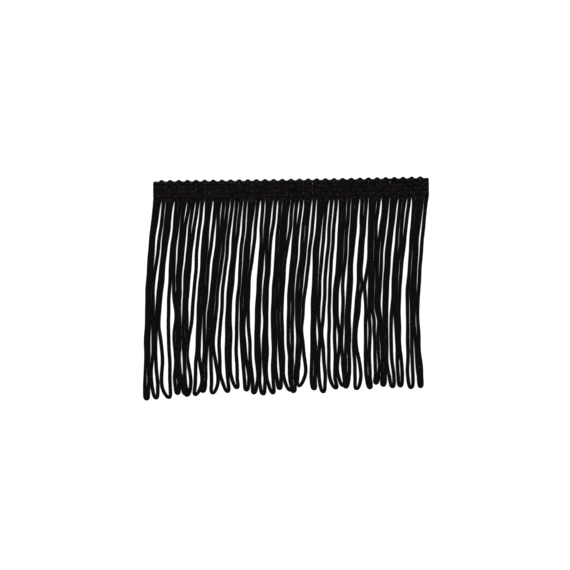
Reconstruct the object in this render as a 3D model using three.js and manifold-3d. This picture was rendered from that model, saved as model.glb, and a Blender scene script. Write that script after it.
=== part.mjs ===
// A cut length of looped fringe, lying flat on its back. One soft cord runs back and forth: it turns in a
// scallop at the top of the heading, goes down through five bound rows, hangs as a long loop and comes back
// up. Millimetres. +X runs along the heading, the loops lie towards -Y, +Z is up from the surface it lies on.
// The origin is the middle of the heading's back.
import * as THREE from "three";
import { mergeVertices } from "three/addons/utils/BufferGeometryUtils.js";
import Module from "manifold-3d";

const wasm = await Module();
wasm.setup();

// Cord and heading sizes
const CORD_WIDTH = 1.4; // a soft cord, a little flattened
const CORD_HEIGHT = 1.1;
const LOOP_PITCH = 4;
const LEG_PITCH = LOOP_PITCH / 2;
const HEADING_HEIGHT = 10.2; // from the scallops' crests to the lowest bound row's edge
const HEADING_TOP = HEADING_HEIGHT / 2;
const HEADING_FOOT = -HEADING_HEIGHT / 2;
const SCALLOP_RISE = 0.8;
const SCALLOP_TUCK = 0.3; // how far a scallop's ends run down into the heading
const FIRST_ROW_DEPTH = 1.25; // the top bound row, below the scallops' crests
const ROW_PITCH = 2.05;
const HEADING_ROWS = 4;
const ROOT_ROW_HEIGHT = 1.5; // the fifth row, which holds the roots of the loops
const ROW_GAP = 0.3; // between the heading and the root row
const GROOVE_TOP = 1.1; // between two legs
const RIB_TOP = 1.45; // along a leg
const STITCH_TOP = 1.9; // where a bound row crosses a leg

// How the loops lie
const UPPER_DEPTH = 22.7; // below the heading's foot
const MIDDLE_DEPTH = 48.2;
const LOWER_DEPTH = 69.1;
const BELLY_RISE = 4.9; // above the loop's own tip
const TIP_HALF_WIDTH = 0.8; // the tight turn at the tip
const TIP_RISE = 0.3;
const ROOT_TUCK = 0.8; // the legs' ends inside the root row
const TOUCHING = 1.44; // cords closer than this in plan lie one on the other
const CORD_CLEARANCE = 0.2; // between a cord and the one that it passes over
const RAMP = 0.25; // the steepest rise of a cord over another
const SPAN_STEPS = [3, 3, 3, 3, 3, 2, 3, 3, 3, 3, 3]; // sections from one route point to the next
const SAMPLES_PER_SECTION = 8;
const SCALLOP_STEPS = 6;

// Each loop from left to right: how far its two legs have swung sideways, from the middle of its two roots,
// at four depths, where its tip lies, and how far the tip hangs below the heading's foot.
const LOOP_COLUMNS = [
  "leftUpper", "leftMiddle", "leftLower", "leftBelly", "tip",
  "rightBelly", "rightLower", "rightMiddle", "rightUpper", "drop",
];
const LOOP_ROWS = [
  [-3.9, -5.6, -6.2, -6.8, -6.0, -5.2, -4.7, -4.1, -2.3, 91.1],
  [-4.1, -6.6, -6.9, -7.5, -5.6, -4.9, -5.4, -4.7, -1.9, 90.7],
  [-4.3, -7.1, -6.9, -6.8, -3.7, -2.9, -3.4, -3.3, -1.7, 90.5],
  [-4.2, -5.1, -5.5, -5.3, -3.6, -3.1, -3.9, -3.5, -2.2, 88.7],
  [-4.6, -5.9, -6.3, -5.0, -4.1, -3.3, -4.8, -4.3, -2.3, 88.9],
  [-4.6, -6.7, -7.4, -8.0, -7.2, -5.2, -5.8, -3.9, -1.9, 89.5],
  [-3.3, -5.5, -6.5, -7.3, -7.4, -4.4, -4.9, -3.9, -1.6, 89.3],
  [-3.8, -6.3, -7.3, -7.7, -7.7, -6.1, -5.7, -4.4, -1.2, 87.8],
  [-3.6, -6.8, -8.1, -7.8, -7.1, -4.9, -6.5, -5.1, -1.9, 88.6],
  [-4.0, -6.7, -8.0, -7.0, -4.6, -4.3, -4.7, -4.1, -1.5, 88.0],
  [-3.9, -6.5, -6.9, -6.5, -4.0, -3.7, -4.2, -3.4, -1.3, 86.3],
  [-3.4, -5.6, -5.7, -4.4, -3.6, -2.5, -4.1, -4.0, -1.8, 87.4],
  [-4.0, -6.5, -6.1, -4.8, -4.1, -2.8, -2.8, -2.4, -0.6, 88.8],
  [-3.0, -4.8, -5.2, -5.0, -4.0, -3.4, -3.6, -3.2, -1.5, 89.3],
  [-3.9, -5.6, -5.9, -5.6, -3.4, -3.2, -3.3, -3.1, -1.1, 88.9],
  [-3.5, -5.6, -5.8, -5.5, -4.1, -3.6, -4.2, -4.1, -1.9, 86.9],
  [-4.3, -6.6, -6.4, -5.9, -3.4, -3.4, -3.8, -3.7, -1.5, 87.7],
  [-3.8, -5.9, -6.1, -6.8, -6.0, -5.2, -3.9, -4.1, -1.5, 88.3],
  [-3.7, -6.4, -6.3, -6.9, -6.6, -4.3, -4.7, -4.6, -1.5, 85.7],
  [-3.3, -4.6, -5.2, -5.3, -4.2, -3.6, -3.6, -3.1, -1.7, 87.2],
  [-3.7, -5.6, -5.9, -5.7, -3.9, -3.2, -3.7, -3.3, -1.3, 88.6],
  [-3.2, -4.8, -5.1, -5.1, -2.3, -2.6, -2.3, -2.6, -0.3, 86.9],
  [-2.6, -5.1, -4.8, -4.9, -3.0, -2.3, -3.2, -2.4, -0.8, 85.8],
  [-2.9, -4.6, -5.5, -5.6, -5.6, -3.9, -3.8, -3.1, -1.4, 86.5],
  [-2.5, -4.4, -5.6, -5.1, -4.4, -2.5, -4.0, -2.9, -1.0, 87.3],
  [-2.3, -4.1, -4.2, -4.0, -2.5, -2.3, -2.3, -2.4, -0.8, 87.0],
  [-3.2, -4.8, -4.0, -4.3, -3.4, -2.6, -2.4, -3.2, -1.7, 84.9],
  [-3.9, -5.6, -4.8, -4.5, -4.0, -2.9, -3.3, -4.0, -1.7, 85.9],
  [-4.2, -6.0, -5.7, -5.2, -3.8, -3.3, -4.1, -3.7, -1.7, 86.6],
  [-3.9, -6.1, -5.6, -5.4, -4.2, -3.4, -4.0, -4.4, -2.1, 86.3],
  [-2.9, -4.6, -4.5, -4.7, -3.5, -2.3, -2.7, -2.8, -1.3, 87.1],
  [-3.8, -5.1, -4.6, -3.8, -2.8, -2.1, -2.7, -3.5, -1.7, 86.7],
];
const LOOPS = LOOP_ROWS.map((row) => Object.fromEntries(LOOP_COLUMNS.map((name, i) => [name, row[i]])));
const LENGTH = LOOPS.length * LOOP_PITCH;
const LEG_COUNT = LENGTH / LEG_PITCH;
const UP = new THREE.Vector3(0, 0, 1);

const blackYarn = () => new THREE.MeshStandardMaterial({ color: 0x141112, roughness: 0.85, metalness: 0 });

// Joining closed shapes

function solidOf(geometry) {
  const bare = geometry.index ? geometry.toNonIndexed() : geometry.clone();
  bare.deleteAttribute("normal");
  bare.deleteAttribute("uv");
  const merged = mergeVertices(bare, 1e-4);
  return new wasm.Manifold(
    new wasm.Mesh({
      numProp: 3,
      vertProperties: new Float32Array(merged.attributes.position.array),
      triVerts: new Uint32Array(merged.index.array),
    }),
  );
}

function geometryOf(solid) {
  const mesh = solid.getMesh();
  const geometry = new THREE.BufferGeometry();
  geometry.setAttribute("position", new THREE.BufferAttribute(mesh.vertProperties, 3));
  geometry.setIndex(new THREE.BufferAttribute(mesh.triVerts, 1));
  geometry.computeVertexNormals();
  return geometry;
}

// Cords

// A path whose sections stay upright, so a cord lies level on the surface.
class UprightPath extends THREE.Curve {
  constructor(pointAt) {
    super();
    this.getPoint = pointAt;
  }

  getUtoTmapping(u) {
    return u;
  }

  computeFrenetFrames(steps) {
    const frames = { tangents: [], normals: [], binormals: [] };
    for (let i = 0; i <= steps; i++) {
      const tangent = this.getTangentAt(i / steps);
      const normal = UP.clone().addScaledVector(tangent, -tangent.z).normalize();
      frames.tangents.push(tangent);
      frames.normals.push(normal);
      frames.binormals.push(new THREE.Vector3().crossVectors(tangent, normal));
    }
    return frames;
  }
}

function cord(path, steps) {
  const halfWidth = CORD_WIDTH / 2;
  const halfHeight = CORD_HEIGHT / 2;
  const section = new THREE.Shape([
    new THREE.Vector2(-halfHeight, -halfWidth),
    new THREE.Vector2(halfHeight, -halfWidth),
    new THREE.Vector2(halfHeight, halfWidth),
    new THREE.Vector2(-halfHeight, halfWidth),
  ]);
  return new THREE.ExtrudeGeometry(section, { steps, extrudePath: path });
}

// Bound rows

// A ribbed band, one rib to a leg, flat underneath. Its sections are given from the top edge down: how deep
// each lies below the scallops' crests, and how high its ribs stand.
function ribbedBand(sections) {
  const outline = new THREE.Shape();
  outline.moveTo(-LENGTH / 2, 0);
  outline.lineTo(LENGTH / 2, 0);
  for (let i = 2 * LEG_COUNT; i >= 0; i--) {
    outline.lineTo(-LENGTH / 2 + (i * LEG_PITCH) / 2, GROOVE_TOP);
  }
  const steps = sections.length - 1;
  const band = new THREE.ExtrudeGeometry(outline, { steps, depth: steps, bevelEnabled: false });
  const points = band.getAttribute("position");
  for (let i = 0; i < points.count; i++) {
    const x = points.getX(i);
    const { depth, ribTop } = sections[Math.round(points.getZ(i))];
    const isRib = Math.round((2 * (x + LENGTH / 2)) / LEG_PITCH) % 2 === 1;
    const onTop = points.getY(i) > GROOVE_TOP / 2;
    const topZ = isRib ? ribTop : GROOVE_TOP;
    points.setXYZ(i, x, HEADING_TOP - depth, onTop ? topZ : 0);
  }
  return solidOf(band);
}

function scallop(middleX) {
  const footY = HEADING_TOP - SCALLOP_RISE - SCALLOP_TUCK;
  const rise = HEADING_TOP - CORD_WIDTH / 2 - footY;
  const turn = new THREE.EllipseCurve(middleX, footY, LEG_PITCH / 2, rise, 0, Math.PI);
  const path = new UprightPath((t) => {
    const flat = turn.getPoint(t);
    return new THREE.Vector3(flat.x, flat.y, CORD_HEIGHT / 2);
  });
  return solidOf(cord(path, SCALLOP_STEPS));
}

function heading() {
  const footDepth = HEADING_HEIGHT - ROOT_ROW_HEIGHT - ROW_GAP;
  const sections = [{ depth: SCALLOP_RISE, ribTop: RIB_TOP }];
  for (let row = 0; row < HEADING_ROWS; row++) {
    const depth = FIRST_ROW_DEPTH + row * ROW_PITCH;
    sections.push({ depth, ribTop: STITCH_TOP });
    sections.push({ depth: Math.min(depth + ROW_PITCH / 2, footDepth), ribTop: RIB_TOP });
  }
  let solid = ribbedBand(sections);
  for (let turn = 1; turn < LOOPS.length; turn++) {
    solid = solid.add(scallop(-LENGTH / 2 + turn * LOOP_PITCH));
  }
  return new THREE.Mesh(geometryOf(solid), blackYarn());
}

// Loops

function routeOf(loop, index) {
  const middle = (index - (LOOPS.length - 1) / 2) * LOOP_PITCH;
  const at = (swing, depth) => new THREE.Vector3(middle + swing, HEADING_FOOT - depth, 0);
  const bellyDepth = loop.drop - BELLY_RISE;
  const turnDepth = loop.drop - TIP_RISE;
  return new THREE.CatmullRomCurve3([
    at(-LEG_PITCH / 2, -ROOT_TUCK),
    at(loop.leftUpper, UPPER_DEPTH),
    at(loop.leftMiddle, MIDDLE_DEPTH),
    at(loop.leftLower, LOWER_DEPTH),
    at(loop.leftBelly, bellyDepth),
    at(loop.tip - TIP_HALF_WIDTH, turnDepth),
    at(loop.tip + TIP_HALF_WIDTH, turnDepth),
    at(loop.rightBelly, bellyDepth),
    at(loop.rightLower, LOWER_DEPTH),
    at(loop.rightMiddle, MIDDLE_DEPTH),
    at(loop.rightUpper, UPPER_DEPTH),
    at(LEG_PITCH / 2, -ROOT_TUCK),
  ]);
}

const SECTION_STOPS = SPAN_STEPS.flatMap((steps, span) =>
  Array.from({ length: steps }, (_, i) => (span + i / steps) / SPAN_STEPS.length),
);
SECTION_STOPS.push(1);
const SECTION_COUNT = SECTION_STOPS.length - 1;

function between(values, place) {
  const before = Math.max(0, Math.min(Math.floor(place), values.length - 2));
  return THREE.MathUtils.lerp(values[before], values[before + 1], place - before);
}

// The height at which a cord's underside passes over the cords that lie there already.
function heightOver(point, lying) {
  let height = 0;
  for (const other of lying) {
    if (Math.hypot(point.x - other.x, point.y - other.y) < TOUCHING) {
      height = Math.max(height, other.height + CORD_HEIGHT + CORD_CLEARANCE);
    }
  }
  return height;
}

// Heights at a loop's sections: clear of what lies below, with gentle ramps on both sides.
function sectionHeights(samples, sections, lying) {
  const needed = samples.map((point) => heightOver(point, lying));
  const clear = sections.map((_, i) =>
    Math.max(...needed.slice(Math.max(0, (i - 1) * SAMPLES_PER_SECTION), (i + 1) * SAMPLES_PER_SECTION + 1)),
  );
  return sections.map((point, i) =>
    Math.max(...sections.map((other, j) => clear[j] - RAMP * (i === j ? 0 : point.distanceTo(other))), 0),
  );
}

// The loops are laid from left to right, each over those that it crosses.
function laidLoops() {
  const lying = [];
  return LOOPS.map((loop, index) => {
    const route = routeOf(loop, index);
    const pointAt = (place) => route.getPoint(between(SECTION_STOPS, place));
    const sections = SECTION_STOPS.map((stop) => route.getPoint(stop));
    const sampleCount = SECTION_COUNT * SAMPLES_PER_SECTION;
    const samples = Array.from({ length: sampleCount + 1 }, (_, i) => pointAt(i / SAMPLES_PER_SECTION));
    const heights = sectionHeights(samples, sections, lying);
    samples.forEach(({ x, y }, i) => lying.push({ x, y, height: between(heights, i / SAMPLES_PER_SECTION) }));
    return new UprightPath((t) => {
      const point = pointAt(t * SECTION_COUNT);
      point.z = between(heights, t * SECTION_COUNT) + CORD_HEIGHT / 2;
      return point;
    });
  });
}

function loopFringe() {
  const topDepth = HEADING_HEIGHT - ROOT_ROW_HEIGHT;
  let solid = ribbedBand([
    { depth: topDepth, ribTop: RIB_TOP },
    { depth: topDepth + ROOT_ROW_HEIGHT / 2, ribTop: STITCH_TOP },
    { depth: HEADING_HEIGHT, ribTop: RIB_TOP },
  ]);
  for (const path of laidLoops()) {
    solid = solid.add(solidOf(cord(path, SECTION_COUNT)));
  }
  return new THREE.Mesh(geometryOf(solid), blackYarn());
}

const fringe = new THREE.Group();
const parts = { heading: heading(), loop_fringe: loopFringe() };
for (const [name, mesh] of Object.entries(parts)) {
  mesh.name = name;
  fringe.add(mesh);
}

export default fringe;
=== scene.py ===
import math

import bmesh
import bpy
import numpy as np
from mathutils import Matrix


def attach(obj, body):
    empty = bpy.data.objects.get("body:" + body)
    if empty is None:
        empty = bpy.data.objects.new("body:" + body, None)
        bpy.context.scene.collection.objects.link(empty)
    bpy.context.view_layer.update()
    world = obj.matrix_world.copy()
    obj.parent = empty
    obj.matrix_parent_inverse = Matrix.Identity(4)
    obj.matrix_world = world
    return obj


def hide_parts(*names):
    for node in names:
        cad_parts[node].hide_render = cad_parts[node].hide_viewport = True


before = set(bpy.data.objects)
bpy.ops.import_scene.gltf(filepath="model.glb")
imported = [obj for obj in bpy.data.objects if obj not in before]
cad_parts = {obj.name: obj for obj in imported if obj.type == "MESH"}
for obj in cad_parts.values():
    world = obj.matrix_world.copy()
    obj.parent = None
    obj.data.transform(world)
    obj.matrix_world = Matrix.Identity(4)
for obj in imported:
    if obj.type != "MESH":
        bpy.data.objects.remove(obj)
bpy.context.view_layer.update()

MM = 0.001
UP = np.array([0.0, 0.0, 1.0])
chance = np.random.default_rng(32)


def named_rows(columns, rows):
    """The rows of a table, each value under its column's name."""
    return [dict(zip(columns, row)) for row in rows]


# Heading sizes
LOOP_PITCH = 4.0
LEG_PITCH = LOOP_PITCH / 2
HEADING_TOP = 5.1
HEADING_FOOT = -5.1
FIRST_ROW_DEPTH = 1.25  # the top bound row, below the scallops' crests
ROW_PITCH = 2.05
HEADING_ROWS = 4
LEG_END = -3.75  # where a heading leg goes under the root row
LEG_WIDTH = 2.005  # pressed flat, each a hair into the next
LEG_REST = 0.12  # the legs lie on the threads at the back
END_LEG_SHORT = 0.85  # the first and last legs stop this far below the heading's top
SCALLOP_WIDTH = 1.5
CREST_RISE = 0.15  # the scallops' knit stands a little over the heading's height
EYE_REACH = (0.38, 0.56)  # how far below the top row a cord starts to narrow for its scallop
NARROWING = 0.7  # the stretch in which it does so
STRAIGHT_BELOW = 1.2  # a leg is straight up to here, below the top row
BEND_BELOW = 0.6  # and bends in from here
SHOULDER_IN = 0.36  # a scallop's shoulder, in from the leg
SHOULDER_DROP = 0.42  # and below the crest
SCALLOP_STEPS = 12  # of its curve, from point to point
BOW_RISE = 0.5  # the heading isn't laid quite straight: it rises this far to the right
BOW_MIDDLE = -28.0
BOW_REACH = 90.0
# Small holes in the heading: between which legs, below which row, and how far each leg is drawn aside there.
PIN_HOLES = named_rows(["along", "row", "part"], [
    [-44, 1, 0.04],
    [-40, 1, 0.045],
    [-40, 2, 0.08],
    [-38, 1, 0.05],
    [-38, 2, 0.09],
    [-18, 0, 0.03],
    [-14, 0, 0.04],
    [-2, 2, 0.03],
    [6, 0, 0.07],
    [6, 2, 0.06],
    [10, 0, 0.08],
    [10, 1, 0.065],
    [10, 2, 0.065],
    [12, 1, 0.07],
    [12, 2, 0.055],
    [46, 0, 0.085],
])
PIN_HOLE_REACH = 0.4
HALF_ROW = 0.5  # a hole lies midway between its row and the next

# Cord sizes
FREE_WIDTH = 1.78
TIP_WIDTH = 1.62  # pinched, where the cord turns
TIP_REACH = 2.2
ROOT_WIDTH = 1.93  # flattened, as the cord comes out of the heading
ROOT_FADE = 2.2  # how soon it rounds out again
LEAST_WIDTH = 1.15  # squeezed between neighbours
CORD_AREA = 1.36  # of its section, so a squeezed cord stands higher
CORD_HEIGHT = 1.1  # as it counts when one loop is laid over another
STITCH_LENGTH = 1.4
LOOP_STITCHES = 132
SECTIONS_PER_STITCH = 5
SCALLOP_SECTIONS = 8  # to a stitch, in the heading, where the cord turns sharply
SPOKES = 12  # points round a cord
WALES = 2  # rows of V stitches, one above and one below
STITCH_SLANT = 0.55  # of a stitch, from the middle of a V to its edge
KNIT_DEPTH = 0.11  # of the cord's radius
KNIT_BEAT = 0.6  # the share of that depth which rises and falls along the cord
HALF_GRID = 0.5  # of the flat square grid that a cord is rolled from
WELD = 0.001  # edges of a rolled-up cord closer than this are joined

# How the loops lie
UPPER_DEPTH = 22.7  # below the heading's foot
MIDDLE_DEPTH = 48.2
LOWER_DEPTH = 69.1
BELLY_RISE = 4.9  # above the loop's own tip
TIP_HALF_WIDTH = 0.45
TIP_RISE = 0.1
ROOT_TUCK = 1.65  # the legs' ends under the root row
LOOP_STEPS = 40  # of its curve, from point to point
TOUCHING = 1.15  # cords closer than this in plan lie one on the other
CORD_CLEARANCE = 0.15
RAMP = 0.25  # the steepest rise of a cord over another
RAMP_ROUNDING = 3 * SECTIONS_PER_STITCH  # sections over which the rise is eased
LOOPS_BELOW = 3  # loops laid before it that a loop can lie on
LOOPS_BESIDE = 2  # loops to either side that can squeeze it
OWN_STRETCH = 5 * FREE_WIDTH  # a loop's own cord, nearer than this along it, doesn't squeeze it
NECK_DEPTH = 4.0  # where a leg leans aside most, as roots crowd together or part
NECK_GAP = 0.14  # one step of a gap between roots
NECK_REACH = 4  # legs to either side that make room for a gap
# Slow waves that neighbouring loops share.
WAVES = named_rows(["reach", "along", "down", "start"], [
    [0.10, 17.0, 31.0, 0.4],
    [0.08, 11.0, -19.0, 2.1],
    [0.05, 29.0, 12.5, 4.0],
])
WAVE_DEPTH = 12.0  # where the waves have grown to their full reach

# Each loop from left to right: how wide a gap opens at its neck, before it and between its legs, in steps
# from 0 to 3; how far its legs have swung sideways, from the middle of their roots, at four depths; where
# its tip lies; and how far it hangs below the heading.
LOOP_COLUMNS = [
    "roots_apart", "legs_apart", "left_upper", "left_middle", "left_lower", "left_belly",
    "tip", "right_belly", "right_lower", "right_middle", "right_upper", "drop",
]
LOOPS = named_rows(LOOP_COLUMNS, [
    [1, 0, -3.9, -5.6, -6.2, -6.8, -6.0, -5.2, -4.7, -4.1, -2.3, 91.1],
    [2, 1, -4.1, -6.6, -6.9, -7.5, -5.6, -4.9, -5.4, -4.7, -1.9, 90.7],
    [0, 3, -4.3, -7.1, -6.9, -6.8, -3.7, -2.9, -3.4, -3.3, -1.7, 90.5],
    [1, 0, -4.2, -5.1, -5.5, -5.3, -3.6, -3.1, -3.9, -3.5, -2.2, 88.7],
    [3, 0, -4.6, -5.9, -6.3, -5.0, -4.1, -3.3, -4.8, -4.3, -2.3, 88.9],
    [3, 1, -4.6, -6.7, -7.4, -8.0, -7.2, -5.2, -5.8, -3.9, -1.9, 89.5],
    [3, 1, -3.3, -5.5, -6.5, -7.3, -7.4, -4.4, -4.9, -3.9, -1.6, 89.3],
    [2, 0, -3.8, -6.3, -7.3, -7.7, -7.7, -6.1, -5.7, -4.4, -1.2, 87.8],
    [2, 1, -3.6, -6.8, -8.1, -7.8, -7.1, -4.9, -6.5, -5.1, -1.9, 88.6],
    [2, 1, -4.0, -6.7, -8.0, -7.0, -4.6, -4.3, -4.7, -4.1, -1.5, 88.0],
    [2, 1, -3.9, -6.5, -6.9, -6.5, -4.0, -3.7, -4.2, -3.4, -1.3, 86.3],
    [2, 1, -3.4, -5.6, -5.7, -4.4, -3.6, -2.5, -4.1, -4.0, -1.8, 87.4],
    [1, 3, -4.0, -6.5, -6.1, -4.8, -4.1, -2.8, -2.8, -2.4, -0.6, 88.8],
    [2, 0, -3.0, -4.8, -5.2, -5.0, -4.0, -3.4, -3.6, -3.2, -1.5, 89.3],
    [1, 3, -3.9, -5.6, -5.9, -5.6, -3.4, -3.2, -3.3, -3.1, -1.1, 88.9],
    [1, 0, -3.5, -5.6, -5.8, -5.5, -4.1, -3.6, -4.2, -4.1, -1.9, 86.9],
    [0, 1, -4.3, -6.6, -6.4, -5.9, -3.4, -3.4, -3.8, -3.7, -1.5, 87.7],
    [3, 2, -3.8, -5.9, -6.1, -6.8, -6.0, -5.2, -3.9, -4.1, -1.5, 88.3],
    [0, 3, -3.7, -6.4, -6.3, -7.6, -7.3, -4.3, -4.7, -4.6, -1.5, 85.7],
    [2, 1, -3.3, -4.6, -5.2, -5.3, -4.2, -3.6, -3.6, -3.1, -1.7, 87.2],
    [0, 3, -3.7, -5.6, -5.9, -5.7, -3.9, -3.2, -3.7, -3.3, -1.3, 88.6],
    [3, 1, -3.2, -4.8, -5.1, -5.1, -2.3, -2.6, -2.3, -2.6, -0.3, 86.9],
    [0, 1, -2.6, -5.1, -4.8, -4.9, -3.0, -2.3, -3.2, -2.4, -0.8, 85.8],
    [1, 1, -2.9, -4.6, -5.5, -5.6, -5.6, -3.9, -3.8, -3.1, -1.4, 86.5],
    [2, 1, -2.5, -4.4, -5.6, -5.1, -4.4, -2.5, -4.0, -2.9, -1.0, 87.3],
    [0, 0, -2.3, -4.1, -4.2, -4.0, -2.5, -2.3, -2.3, -2.4, -0.8, 87.0],
    [2, 3, -3.2, -4.8, -4.0, -4.3, -3.4, -2.6, -2.4, -3.2, -1.7, 84.9],
    [0, 0, -3.9, -5.6, -4.8, -4.5, -4.0, -2.9, -3.3, -4.0, -1.7, 85.9],
    [0, 2, -4.2, -6.0, -5.7, -5.2, -3.8, -3.3, -4.1, -3.7, -1.7, 86.6],
    [1, 3, -3.9, -6.1, -5.6, -5.4, -4.2, -3.4, -4.0, -4.4, -2.1, 86.3],
    [2, 0, -2.9, -4.6, -4.5, -4.7, -3.5, -2.3, -2.7, -2.8, -1.3, 87.1],
    [0, 0, -3.8, -5.1, -4.6, -3.8, -2.8, -2.1, -2.7, -3.5, -1.7, 86.7],
])
LENGTH = len(LOOPS) * LOOP_PITCH
LEG_COUNT = 2 * len(LOOPS)
# Where a leg is pushed aside by its neighbours on the way: at which depth, how far, and over what reach.
PUSHES = named_rows(["loop", "leg", "depth", "shift", "reach"], [
    [1, "right", 58, 0.05, 15],
    [2, "left", 13, 0.3, 8],
    [2, "left", 34, -0.35, 8],
    [2, "left", 50, 0.12, 6],
    [2, "right", 60, -0.15, 8],
    [3, "left", 59, -0.75, 6],
    [3, "left", 75, 0.6, 8],
    [4, "left", 54, 1.0, 7],
    [4, "right", 54, 0.5, 7],
    [4, "left", 76, 0.85, 12],
    [4, "right", 60, 0.25, 7],
    [4, "right", 70, 0.2, 8],
    [5, "left", 48, -0.55, 8],
    [5, "left", 60, 0.3, 7],
    [5, "right", 60, 0.15, 7],
    [5, "left", 79, -0.9, 8],
    [5, "right", 71, 0.5, 5],
    [5, "right", 81, -0.75, 6],
    [6, "left", 79, -0.45, 8],
    [6, "right", 64, -0.4, 15],
    [6, "right", 75, -0.55, 8],
    [7, "right", 9, -0.25, 8],
    [7, "left", 70, -0.25, 8],
    [7, "right", 70, -0.55, 8],
    [8, "left", 9, 0.25, 8],
    [8, "right", 78, -0.45, 8],
    [12, "right", 15, -0.2, 8],
    [13, "left", 14, 0.2, 8],
    [13, "left", 62, 0.45, 9],
    [13, "right", 60, -0.3, 11],
    [14, "right", 9, -0.2, 7],
    [14, "left", 34, -0.25, 9],
    [14, "left", 58, -0.45, 9],
    [14, "right", 34, 0.15, 9],
    [14, "right", 58, 0.25, 9],
    [14, "left", 84, -0.3, 4],
    [14, "right", 84, 0.3, 4],
    [15, "left", 9, 0.15, 7],
    [16, "left", 72, -0.12, 7],
    [16, "right", 72, 0.12, 7],
    [17, "left", 11, 0.45, 8],
    [19, "left", 60, -0.55, 6],
    [19, "right", 60, -0.85, 6],
    [19, "left", 80, -0.25, 5],
    [20, "left", 12, 0.2, 8],
    [21, "left", 61, 0.48, 6],
    [21, "right", 61, -0.48, 6],
    [23, "right", 37, -0.6, 7],
    [23, "left", 63, 0.6, 6],
    [25, "left", 40, 0.3, 5],
    [25, "right", 40, 0.65, 4.5],
    [25, "left", 62, -0.4, 7],
    [25, "right", 62, -0.45, 7],
    [26, "left", 40, -0.5, 4.5],
    [26, "left", 59, 0.3, 6],
    [26, "right", 59, 0.4, 5],
    [27, "left", 9, -0.25, 7],
    [27, "right", 9, 0.25, 7],
    [27, "left", 56, 0.45, 3.5],
    [27, "right", 42, 0.12, 9],
    [27, "right", 56, 0.7, 4.5],
    [27, "left", 77, 0.5, 9],
    [27, "right", 77, 0.5, 8],
    [28, "left", 44, 0.15, 8],
    [28, "left", 56, 0.45, 5],
    [28, "right", 47, 0.65, 8],
    [28, "right", 58, 0.25, 5],
    [28, "right", 72, -0.4, 8],
    [29, "left", 71, -0.7, 8],
    [29, "right", 70, -0.3, 7],
    [32, "left", 61, -0.45, 10],
    [32, "right", 66, -0.6, 12],
])
TIP_CLEAR = 3.0  # the tips themselves aren't pushed

# Binding threads
THREAD_SPOKES = 5  # points round a thread
TWIST_LENGTH = 0.7  # of thread to one turn of its plies
LINK_RADIUS = 0.23
LINK_POINTS = [  # half of one chain stitch: along the row, half its width, height over the legs
    (0.0, 0.0, 0.50),
    (0.6, 0.36, 0.52),
    (1.5, 0.46, 0.40),
    (2.3, 0.32, 0.22),
    (2.6, 0.0, 0.15),
]
LINK_INSET = 0.12  # from the heading's end to a row's first stitch
LINK_PITCH = (LENGTH - 2 * LINK_INSET - LINK_POINTS[-1][0]) / (LEG_COUNT - 1)  # one stitch to a leg
LINK_JITTER = 0.05  # no two stitches lie quite alike
LINK_STEPS = 6  # of its curve, from point to point
LINK_SECTIONS = 12
LEG_TOP = 1.0  # the face of the legs, which the chain stitch lies on
BACK_RADIUS = 0.17
BACK_WAVE = 0.14  # how far a thread at the back wavers
BACK_INSET = 0.2  # from the heading's end
BACK_SECTIONS = 6  # to a leg

# Looks of the yarn, with its painted shade, highlights and glints
# The yarn's black, darkened in the hollows as painted shade and lightened on the crests as a painted
# highlight.
CORD_HOLLOW_SHADE = (0.0006, 0.0004, 0.0005)
LOOP_CREST_HIGHLIGHT = (0.0090, 0.0068, 0.0075)
HEADING_CREST_HIGHLIGHT = (0.0110, 0.0081, 0.0091)
THREAD_HOLLOW_SHADE = (0.0010, 0.0007, 0.0008)
# the binding thread's crests carry the brightest painted highlight
THREAD_CREST_HIGHLIGHT = (0.0380, 0.0298, 0.0322)
LOOP_HIGHLIGHT_BETWEEN_GLINTS = 0.45  # how much of a crest's painted highlight stays between the painted glints
HEADING_HIGHLIGHT_BETWEEN_GLINTS = 0.2
THREAD_HIGHLIGHT_BETWEEN_GLINTS = 0.0
KNIT_BUMP = 0.08
PLY_BUMP = 0.05
BUMP_STRENGTH = 0.6
SHADE_BEAT = 0.4  # how far the painted shade of a stitch, and its relief, rise and fall along the cord
PLY_TURNS = 2.0  # plies side by side round a thread
KNIT_FILAMENTS = (9.0, 1.5, 3.0)  # along a stitch, across it and round the cord
PLY_FILAMENTS = (6.0, 2.0)  # along a ply and round the thread
FILAMENT_HEIGHT = 0.4  # of a stitch's height
NOISE_DETAIL = 2.0
GLINT_SCALE = 900.0  # painted glints about a millimetre across
GLINT_RANGE = (0.38, 0.68)  # of the glint noise, from no painted glint to full glint
HOLLOW_ROUGHNESS = 0.92
CREST_ROUGHNESS = 0.7
YARN_SPECULAR = 0.05
MIX_FIRST = 6  # a Mix node's sockets for colours
MIX_SECOND = 7
MIX_RESULT = 2

# Table, light and camera
TABLE_SIDE = 3000.0
TABLE_COLOUR = (0.92, 0.92, 0.92, 1)
TABLE_ROUGHNESS = 0.9
TABLE_SPECULAR = 0.1
LAMP_HEIGHT = 1600.0
LAMP_SIDE = 600.0
LAMP_POWER = 26.0
SKY_COLOUR = (1, 1, 1, 1)
SKY_STRENGTH = 0.35
PHOTO_MIDDLE = (-3.25, -44.05)  # what the photo's middle shows
PHOTO_WIDTH = 264.4  # and how much it shows from side to side
PHOTO_ROLL = math.radians(-0.6)
LENS = 100.0
SENSOR = 36.0


# Routes

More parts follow.
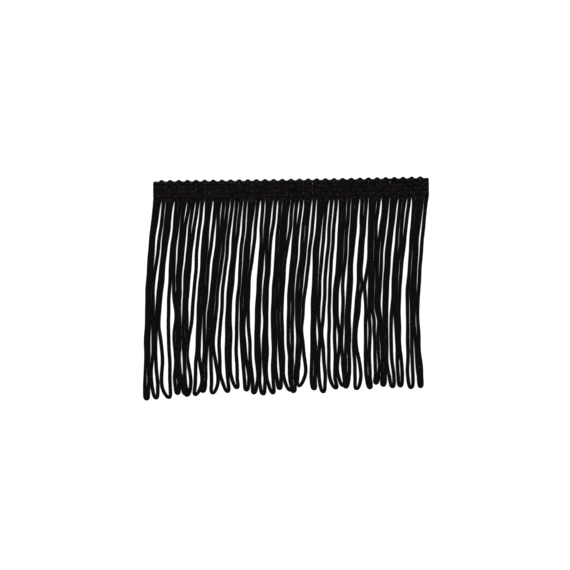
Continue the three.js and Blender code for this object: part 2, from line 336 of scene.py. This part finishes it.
def smooth_route(points, steps):
    """Places along a smooth curve through some points, with the given steps from each to the next."""
    points = np.asarray(points, float)
    ends = [2 * points[0] - points[1], *points, 2 * points[-1] - points[-2]]
    stretches = []
    for before, start, end, after in zip(ends, ends[1:], ends[2:], ends[3:]):
        lead = math.sqrt(np.linalg.norm(start - before))
        span = math.sqrt(np.linalg.norm(end - start))
        trail = math.sqrt(np.linalg.norm(after - end))
        leave = ((start - before) / lead - (end - before) / (lead + span) + (end - start) / span) * span
        arrive = ((end - start) / span - (after - start) / (span + trail) + (after - end) / trail) * span
        t = np.linspace(0, 1, steps, endpoint=False)[:, None]
        square = 3 * (end - start) - 2 * leave - arrive
        cube = 2 * (start - end) + leave + arrive
        stretches.append(start + leave * t + square * t**2 + cube * t**3)
    return np.vstack([*stretches, points[-1]])


def distances(route):
    """How far along a route each of its places lies."""
    return np.concatenate([[0], np.cumsum(np.linalg.norm(np.diff(route, axis=0), axis=1))])


def evenly(route, count):
    """The same route as places an equal distance apart."""
    along = distances(route)
    stops = np.linspace(0, along[-1], count)
    return np.column_stack([np.interp(stops, along, axis) for axis in route.T])


def rounded(values, reach):
    """Values along a row with their corners rounded off over a few neighbours."""
    window = np.hanning(2 * reach + 3)[1:-1]
    padded = np.pad(values, reach, mode="edge")
    return np.convolve(padded, window / window.sum(), mode="valid")


def bow(x):
    """How far up the table the heading lies at a place along it."""
    return BOW_RISE * ((x - BOW_MIDDLE) / BOW_REACH) ** 2


def wander(x, y):
    """How far a place on the loops is carried sideways by their slow waves."""
    turns = [2 * np.pi * (x / wave["along"] + y / wave["down"]) + wave["start"] for wave in WAVES]
    return sum(wave["reach"] * np.sin(turn) for wave, turn in zip(WAVES, turns))


def pushed_aside(loop, index, depth, on_left):
    """How far places on a loop are pushed sideways by the neighbours of its legs."""
    shift = np.zeros(len(depth))
    for push in PUSHES:
        if push["loop"] == index + 1:
            on_leg = on_left if push["leg"] == "left" else ~on_left
            shift += push["shift"] * on_leg * np.exp(-(((depth - push["depth"]) / push["reach"]) ** 2))
    return shift * np.clip((loop["drop"] - depth) / TIP_CLEAR, 0, 1)


def neck_leans():
    """How far the two legs of each loop lean aside at their necks, for the gaps to open between them."""
    gaps = NECK_GAP * np.array([(loop["roots_apart"], loop["legs_apart"]) for loop in LOOPS]).ravel()
    drift = np.cumsum(gaps - gaps.mean())
    return (drift - rounded(drift, NECK_REACH)).reshape(-1, 2)


def depth_below_heading(route):
    """How far below the heading's foot each place of a route lies."""
    return np.maximum(HEADING_FOOT - route[:, 1], 0)


def loop_plan(loop, index, leans):
    """A loop's route seen from above."""
    middle = (index - (len(LOOPS) - 1) / 2) * LOOP_PITCH
    belly_depth = loop["drop"] - BELLY_RISE
    turn_depth = loop["drop"] - TIP_RISE
    places = [
        (-LEG_PITCH / 2, -ROOT_TUCK),
        (loop["left_upper"], UPPER_DEPTH),
        (loop["left_middle"], MIDDLE_DEPTH),
        (loop["left_lower"], LOWER_DEPTH),
        (loop["left_belly"], belly_depth),
        (loop["tip"] - TIP_HALF_WIDTH, turn_depth),
        (loop["tip"] + TIP_HALF_WIDTH, turn_depth),
        (loop["right_belly"], belly_depth),
        (loop["right_lower"], LOWER_DEPTH),
        (loop["right_middle"], MIDDLE_DEPTH),
        (loop["right_upper"], UPPER_DEPTH),
        (LEG_PITCH / 2, -ROOT_TUCK),
    ]
    points = [(middle + swing, HEADING_FOOT - depth) for swing, depth in places]
    route = evenly(smooth_route(points, LOOP_STEPS), LOOP_STITCHES * SECTIONS_PER_STITCH + 1)
    depth = depth_below_heading(route)
    on_left = np.arange(len(route)) < len(route) / 2
    lean = np.where(on_left, *leans)
    neck = depth / NECK_DEPTH
    route[:, 0] += lean * neck * np.exp(1 - neck)
    route[:, 0] += wander(*route.T) * np.clip(depth / WAVE_DEPTH, 0, 1)
    route[:, 0] += pushed_aside(loop, index, depth, on_left)
    route[:, 1] += bow(route[:, 0]) * np.clip(1 - depth / MIDDLE_DEPTH, 0, 1)
    return evenly(route, len(route))


def gaps_between(route, other):
    """The distances from every place of one route to every place of another."""
    return np.linalg.norm(route[:, None] - other[None], axis=2)


def lift_over(route, lying):
    """How high a loop's underside passes over the loops that lie there already."""
    needed = np.zeros(len(route))
    for other, other_lift in lying:
        on_top = other_lift + CORD_HEIGHT + CORD_CLEARANCE
        over = np.where(gaps_between(route, other) < TOUCHING, on_top, 0)
        needed = np.maximum(needed, over.max(axis=1))
    along = distances(route)
    ramps = needed - RAMP * np.abs(along[:, None] - along)
    return rounded(ramps.max(axis=1).clip(0), RAMP_ROUNDING)


def half_widths(index, plans, lifts):
    """Half a loop's width: flattened at its roots, and squeezed where other cords lie close beside it."""
    route = plans[index]
    depth = depth_below_heading(route)
    free = (FREE_WIDTH + (ROOT_WIDTH - FREE_WIDTH) * np.exp(-((depth / ROOT_FADE) ** 2))) / 2
    along = distances(route)
    from_tip = np.abs(along - along[-1] / 2)
    free -= (FREE_WIDTH - TIP_WIDTH) / 2 * np.exp(-((from_tip / TIP_REACH) ** 2))
    far_along = np.abs(along[:, None] - along) > OWN_STRETCH
    room = np.where(far_along, gaps_between(route, route), LOOP_PITCH).min(axis=1)
    for other in range(max(0, index - LOOPS_BESIDE), min(len(plans), index + LOOPS_BESIDE + 1)):
        if other != index:
            beside = np.abs(lifts[index][:, None] - lifts[other]) < CORD_HEIGHT / 2
            gaps = np.where(beside, gaps_between(route, plans[other]), LOOP_PITCH)
            room = np.minimum(room, gaps.min(axis=1))
    return rounded(np.clip(room / 2, LEAST_WIDTH / 2, free), SECTIONS_PER_STITCH)


# Cord meshes

def knit_swell(stitches, sections):
    """How far V stitches stand out over a cord's surface, from section to section and round each section."""
    along = np.linspace(0, stitches, sections)[:, None]
    leg = np.abs(2 * (np.linspace(0, WALES, SPOKES + 1) % 1) - 1)
    yarn = np.sin(np.pi * leg)
    beat = 0.5 + 0.5 * np.cos(2 * np.pi * (along + STITCH_SLANT * leg))
    return 1 + KNIT_DEPTH * yarn * (1 - KNIT_BEAT + KNIT_BEAT * beat)


def directions(centre):
    """Which way a cord runs at each place of its centre line, which may be joined end to end."""
    ahead = np.gradient(centre, axis=0)
    if np.allclose(centre[0], centre[-1]):
        steps = np.diff(np.vstack([centre[-2], centre, centre[1]]), axis=0)
        ahead = steps[:-1] + steps[1:]
    return ahead / np.linalg.norm(ahead, axis=1, keepdims=True)


def roll_cord(bm, centre, half_width, half_height, swell, repeats):
    """Adds a cord: a grid rolled up round its centre line and closed, mapped one unit a repeat along it."""
    sections = len(centre)
    spokes = swell.shape[1] - 1
    ahead = directions(centre)
    aside = np.cross(ahead, UP)
    aside /= np.linalg.norm(aside, axis=1, keepdims=True)
    above = np.cross(aside, ahead)
    turn = np.linspace(0, 2 * np.pi, spokes + 1)
    across = (np.reshape(half_width, (-1, 1)) * swell * np.cos(turn))[:, :, None] * aside[:, None]
    upward = (np.reshape(half_height, (-1, 1)) * swell * np.sin(turn))[:, :, None] * above[:, None]
    skin = (centre[:, None] + across + upward) * MM
    grid = bmesh.ops.create_grid(
        bm, x_segments=sections - 1, y_segments=spokes, size=HALF_GRID, calc_uvs=True
    )
    for vert in grid["verts"]:
        section = round((vert.co.x + HALF_GRID) * (sections - 1))
        spoke = round((vert.co.y + HALF_GRID) * spokes)
        vert.co = skin[section, spoke]
    cord_map = bm.loops.layers.uv.active
    faces = {face for vert in grid["verts"] for face in vert.link_faces}
    for face in faces:
        for corner in face.loops:
            corner[cord_map].uv.x *= repeats
    bmesh.ops.remove_doubles(bm, verts=grid["verts"], dist=WELD * MM)


def add_knitted_cord(bm, route, rest, half_width, stitches):
    """Adds a knitted cord whose underside lies at a given height along a route."""
    half_height = CORD_AREA / (math.pi * half_width)
    swell = knit_swell(stitches, len(route))
    centre = np.column_stack([route, rest + half_height * swell.max()])
    roll_cord(bm, centre, half_width, half_height, swell, stitches)


def add_thread(bm, centre, radius, twists):
    """Adds a round thread along a centre line."""
    plain = np.ones((len(centre), THREAD_SPOKES + 1))
    roll_cord(bm, centre, radius, radius, plain, twists)


def new_mesh():
    """An empty mesh with a map for cords."""
    bm = bmesh.new()
    bm.loops.layers.uv.new("cord")
    return bm


def add_piece(name, bm, material, node):
    """Makes a shaped mesh a piece of the fringe that stands for one of the solids."""
    rims = [edge for edge in bm.edges if edge.is_boundary]
    bmesh.ops.holes_fill(bm, edges=rims)
    bmesh.ops.recalc_face_normals(bm, faces=bm.faces)
    for face in bm.faces:
        face.smooth = True
    mesh = bpy.data.meshes.new(name)
    bm.to_mesh(mesh)
    bm.free()
    mesh.materials.append(material)
    piece = bpy.data.objects.new(name, mesh)
    bpy.context.scene.collection.objects.link(piece)
    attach(piece, "root")
    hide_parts(node)


# Materials

def add_node(tree, kind, inputs=(), **settings):
    """Adds a shader node, with its settings and with what each of its inputs is given or linked to."""
    node = tree.nodes.new(kind)
    for name, value in settings.items():
        setattr(node, name, value)
    for socket, value in dict(inputs).items():
        if isinstance(value, bpy.types.NodeSocket):
            tree.links.new(value, node.inputs[socket])
        else:
            node.inputs[socket].default_value = value
    return node


def calculate(tree, operation, first, second=0.0, third=0.0):
    """The result of a sum in a shader."""
    node = add_node(tree, "ShaderNodeMath", {0: first, 1: second, 2: third}, operation=operation)
    return node.outputs[0]


def new_relief(name):
    """A group that turns a cord's map into the height of its yarn and a mask of where the yarn crests."""
    group = bpy.data.node_groups.new(name, "ShaderNodeTree")
    group.interface.new_socket("Map", in_out="INPUT", socket_type="NodeSocketVector")
    for output in ["Height", "Crest"]:
        group.interface.new_socket(output, in_out="OUTPUT", socket_type="NodeSocketFloat")
    given = group.nodes.new("NodeGroupInput")
    place = add_node(group, "ShaderNodeSeparateXYZ", {0: given.outputs["Map"]})
    return group, place.outputs["X"], place.outputs["Y"]


def put_out_relief(group, crest, lines):
    """Lays filaments over the crests of a relief and puts out both."""
    filaments = add_node(group, "ShaderNodeTexNoise", {
        "Vector": lines.outputs[0], "Scale": 1.0, "Detail": NOISE_DETAIL,
    })
    height = calculate(group, "MULTIPLY_ADD", filaments.outputs["Fac"], FILAMENT_HEIGHT, crest)
    add_node(group, "NodeGroupOutput", {"Height": height, "Crest": crest})


def knit_group():
    """V stitches along a knitted cord, with the filaments of its yarn."""
    group, along, around = new_relief("knit_stitches")
    wale = calculate(group, "FRACT", calculate(group, "MULTIPLY", around, WALES))
    leg = calculate(group, "ABSOLUTE", calculate(group, "MULTIPLY_ADD", wale, 2.0, -1.0))
    phase = calculate(group, "ADD", along, calculate(group, "MULTIPLY", leg, STITCH_SLANT))
    yarn = calculate(group, "SINE", calculate(group, "MULTIPLY", leg, math.pi))
    beat = calculate(group, "COSINE", calculate(group, "MULTIPLY", phase, 2 * math.pi))
    rise = calculate(group, "MULTIPLY_ADD", beat, SHADE_BEAT, 1 - SHADE_BEAT)
    crest = calculate(group, "MULTIPLY", yarn, rise)
    lines = add_node(group, "ShaderNodeCombineXYZ", {
        "X": calculate(group, "MULTIPLY", phase, KNIT_FILAMENTS[0]),
        "Y": calculate(group, "MULTIPLY", leg, KNIT_FILAMENTS[1]),
        "Z": calculate(group, "MULTIPLY", around, KNIT_FILAMENTS[2]),
    })
    put_out_relief(group, crest, lines)
    return group


def ply_group():
    """Plies twisted round a binding thread, with their filaments."""
    group, along, around = new_relief("twisted_plies")
    turn = calculate(group, "ADD", along, calculate(group, "MULTIPLY", around, PLY_TURNS))
    wave = calculate(group, "SINE", calculate(group, "MULTIPLY", turn, 2 * math.pi))
    crest = calculate(group, "MULTIPLY_ADD", wave, 0.5, 0.5)
    lines = add_node(group, "ShaderNodeCombineXYZ", {
        "X": calculate(group, "MULTIPLY", turn, PLY_FILAMENTS[0]),
        "Y": calculate(group, "MULTIPLY", around, PLY_FILAMENTS[1]),
    })
    put_out_relief(group, crest, lines)
    return group


def black_yarn(name, relief, hollow_shade, crest, highlight_between_glints, bump):
    """Soft black yarn with painted light: painted shade in its hollows, a painted highlight where it crests,
    and less of that highlight between painted glints.
    """
    material = bpy.data.materials.new(name)
    material.use_nodes = True
    tree = material.node_tree
    skin = tree.nodes["Principled BSDF"]
    along = add_node(tree, "ShaderNodeUVMap", uv_map="cord")
    surface = add_node(tree, "ShaderNodeGroup", node_tree=relief)
    tree.links.new(along.outputs["UV"], surface.inputs["Map"])
    place = add_node(tree, "ShaderNodeTexCoord")
    # noise that scatters painted glints over the crests
    glint_noise = add_node(tree, "ShaderNodeTexNoise", {
        "Vector": place.outputs["Object"], "Scale": GLINT_SCALE, "Detail": NOISE_DETAIL,
    })
    glint = add_node(tree, "ShaderNodeMapRange", {
        "Value": glint_noise.outputs["Fac"],
        "From Min": GLINT_RANGE[0],
        "From Max": GLINT_RANGE[1],
        "To Min": highlight_between_glints,
    })
    # the painted highlight: on the crests, brightest at the glints
    light = calculate(tree, "MULTIPLY", surface.outputs["Crest"], glint.outputs["Result"])
    # hollows take the painted shade colour, crests the painted highlight colour
    colours = {"Factor": light, MIX_FIRST: (*hollow_shade, 1), MIX_SECOND: (*crest, 1)}
    colour = add_node(tree, "ShaderNodeMix", colours, data_type="RGBA")
    shine = add_node(tree, "ShaderNodeMapRange", {
        "Value": light, "To Min": HOLLOW_ROUGHNESS, "To Max": CREST_ROUGHNESS,
    })
    bumps = add_node(tree, "ShaderNodeBump", {
        "Height": surface.outputs["Height"], "Strength": BUMP_STRENGTH, "Distance": bump * MM,
    })
    tree.links.new(colour.outputs[MIX_RESULT], skin.inputs["Base Color"])
    tree.links.new(shine.outputs["Result"], skin.inputs["Roughness"])
    tree.links.new(bumps.outputs["Normal"], skin.inputs["Normal"])
    skin.inputs["Specular IOR Level"].default_value = YARN_SPECULAR
    return material


KNIT = knit_group()
PLIES = ply_group()
# Each yarn's colours carry painted shade in its hollows and painted highlights and glints on its crests.
LOOP_CORD = black_yarn("black_loop_cord", KNIT, CORD_HOLLOW_SHADE, LOOP_CREST_HIGHLIGHT, LOOP_HIGHLIGHT_BETWEEN_GLINTS, KNIT_BUMP)
HEADING_CORD = black_yarn("black_heading_cord", KNIT, CORD_HOLLOW_SHADE, HEADING_CREST_HIGHLIGHT, HEADING_HIGHLIGHT_BETWEEN_GLINTS, KNIT_BUMP)
BINDING_THREAD = black_yarn(
    "black_binding_thread", PLIES, THREAD_HOLLOW_SHADE, THREAD_CREST_HIGHLIGHT, THREAD_HIGHLIGHT_BETWEEN_GLINTS, PLY_BUMP
)


# Loops

def hang_loops():
    """Lays the loops from left to right, each over those that it crosses."""
    leans = neck_leans()
    plans = [loop_plan(loop, index, leans[index]) for index, loop in enumerate(LOOPS)]
    lifts = []
    for plan in plans:
        lying = list(zip(plans, lifts))[-LOOPS_BELOW:]
        lifts.append(lift_over(plan, lying))
    for index, (plan, lift) in enumerate(zip(plans, lifts)):
        bm = new_mesh()
        add_knitted_cord(bm, plan, lift, half_widths(index, plans, lifts), LOOP_STITCHES)
        add_piece(f"loop_{index + 1:02d}", bm, LOOP_CORD, "loop_fringe")


# Heading

def row_height(row):
    """Where a bound row lies, up the heading."""
    return HEADING_TOP - FIRST_ROW_DEPTH - row * ROW_PITCH


def leg_half_widths(route):
    """Half the width of a heading cord: legs that touch, narrower over the scallop."""
    narrowing = row_height(0) - chance.uniform(*EYE_REACH)
    over_turn = np.clip((route[:, 1] - narrowing) / NARROWING, 0, 1)
    return (LEG_WIDTH + (SCALLOP_WIDTH - LEG_WIDTH) * over_turn) / 2


def drawn_aside(route):
    """How far a heading cord is drawn away from the pin holes beside its legs."""
    x, y = route.T
    shift = np.zeros(len(route))
    for hole in PIN_HOLES:
        away = x - hole["along"]
        from_hole = y - row_height(hole["row"] + HALF_ROW)
        beside = (np.abs(away) < LEG_PITCH) * np.exp(-((from_hole / PIN_HOLE_REACH) ** 2))
        shift += hole["part"] * np.sign(away) * beside
    return shift


def scallop_route(middle):
    """Up one leg of the heading, over the scallop and down the next leg."""
    crest = HEADING_TOP + CREST_RISE - SCALLOP_WIDTH / 2
    leg = -LEG_PITCH / 2
    rising = [
        (leg, LEG_END),
        (leg, row_height(1)),
        (leg, row_height(0) - STRAIGHT_BELOW),
        (leg, row_height(0) - BEND_BELOW),
        (leg + SHOULDER_IN, crest - SHOULDER_DROP),
    ]
    falling = [(-x, y) for x, y in reversed(rising)]
    return [(middle + x, y) for x, y in [*rising, (0, crest), *falling]]


def end_leg_route(x):
    """Up the single leg at an end of the heading."""
    return [(x, LEG_END), (x, row_height(2)), (x, HEADING_TOP - END_LEG_SHORT)]


def add_heading_cord(bm, points):
    """Adds one length of the heading's cord, pressed flat and drawn away from pin holes."""
    route = smooth_route(points, SCALLOP_STEPS)
    stitches = round(distances(route)[-1] / STITCH_LENGTH)
    route = evenly(route, stitches * SCALLOP_SECTIONS + 1)
    route[:, 0] += drawn_aside(route)
    half_width = leg_half_widths(route)
    route[:, 1] += bow(route[:, 0])
    add_knitted_cord(bm, route, LEG_REST, half_width, stitches)


def make_heading_cord():
    """The heading's cord from end to end, a scallop between every two loops."""
    bm = new_mesh()
    end = LENGTH / 2
    add_heading_cord(bm, end_leg_route(-end + LEG_PITCH / 2))
    for turn in range(1, len(LOOPS)):
        add_heading_cord(bm, scallop_route(-end + turn * LOOP_PITCH))
    add_heading_cord(bm, end_leg_route(end - LEG_PITCH / 2))
    add_piece("heading_cord", bm, HEADING_CORD, "heading")


def add_chain_row(bm, height):
    """One row of chain stitch across the legs, a stitch to a leg."""
    back = [(x, -y, z) for x, y, z in reversed(LINK_POINTS[:-1])]
    link = evenly(smooth_route([*LINK_POINTS, *back], LINK_STEPS), LINK_SECTIONS + 1)
    twists = round(distances(link)[-1] / TWIST_LENGTH)
    for leg in range(LEG_COUNT):
        start = np.array([-LENGTH / 2 + LINK_INSET + leg * LINK_PITCH, height, LEG_TOP])
        nudge = chance.uniform(-LINK_JITTER, LINK_JITTER, 3)
        centre = link + start + nudge
        centre[:, 1] += bow(start[0])
        add_thread(bm, centre, LINK_RADIUS, twists)


def add_back_thread(bm, height):
    """The thread that lies along the back of a row and wavers from leg to leg."""
    end = LENGTH / 2 - BACK_INSET
    x = np.linspace(-end, end, BACK_SECTIONS * LEG_COUNT + 1)
    wave = np.sin(2 * np.pi * x / LEG_PITCH)
    centre = np.column_stack([x, height + bow(x) + BACK_WAVE * wave, np.full(len(x), BACK_RADIUS)])
    add_thread(bm, centre, BACK_RADIUS, round(LENGTH / TWIST_LENGTH))


def bind_rows(name, rows, node):
    """Bound rows as one piece, each with chain stitch on the face and a thread along the back."""
    bm = new_mesh()
    for row in rows:
        add_chain_row(bm, row_height(row))
        add_back_thread(bm, row_height(row))
    add_piece(name, bm, BINDING_THREAD, node)


# Table, light and camera

def set_table():
    bm = bmesh.new()
    bmesh.ops.create_grid(bm, x_segments=1, y_segments=1, size=TABLE_SIDE / 2 * MM)
    mesh = bpy.data.meshes.new("table")
    bm.to_mesh(mesh)
    bm.free()
    white = bpy.data.materials.new("white_table")
    white.use_nodes = True
    paint = white.node_tree.nodes["Principled BSDF"]
    paint.inputs["Base Color"].default_value = TABLE_COLOUR
    paint.inputs["Roughness"].default_value = TABLE_ROUGHNESS
    paint.inputs["Specular IOR Level"].default_value = TABLE_SPECULAR
    mesh.materials.append(white)
    table = bpy.data.objects.new("table", mesh)
    bpy.context.scene.collection.objects.link(table)


def set_light():
    lamp = bpy.data.lights.new("overhead_softbox", "AREA")
    lamp.size = LAMP_SIDE * MM
    lamp.energy = LAMP_POWER
    light = bpy.data.objects.new("overhead_softbox", lamp)
    light.location = (PHOTO_MIDDLE[0] * MM, PHOTO_MIDDLE[1] * MM, LAMP_HEIGHT * MM)
    bpy.context.scene.collection.objects.link(light)
    world = bpy.data.worlds.new("studio")
    world.use_nodes = True
    sky = world.node_tree.nodes["Background"]
    sky.inputs["Color"].default_value = SKY_COLOUR
    sky.inputs["Strength"].default_value = SKY_STRENGTH
    bpy.context.scene.world = world
    bpy.context.scene.view_settings.view_transform = "Standard"


def set_camera():
    data = bpy.data.cameras.new("camera")
    data.lens = LENS
    data.sensor_width = SENSOR
    camera = bpy.data.objects.new("camera", data)
    distance = PHOTO_WIDTH * LENS / SENSOR
    camera.location = (PHOTO_MIDDLE[0] * MM, PHOTO_MIDDLE[1] * MM, (distance + CORD_HEIGHT / 2) * MM)
    camera.rotation_euler = (0, 0, PHOTO_ROLL)
    bpy.context.scene.collection.objects.link(camera)
    bpy.context.scene.camera = camera


set_camera()
hang_loops()
make_heading_cord()
bind_rows("binding_rows", range(HEADING_ROWS), "heading")
bind_rows("root_row", [HEADING_ROWS], "loop_fringe")
set_table()
set_light()
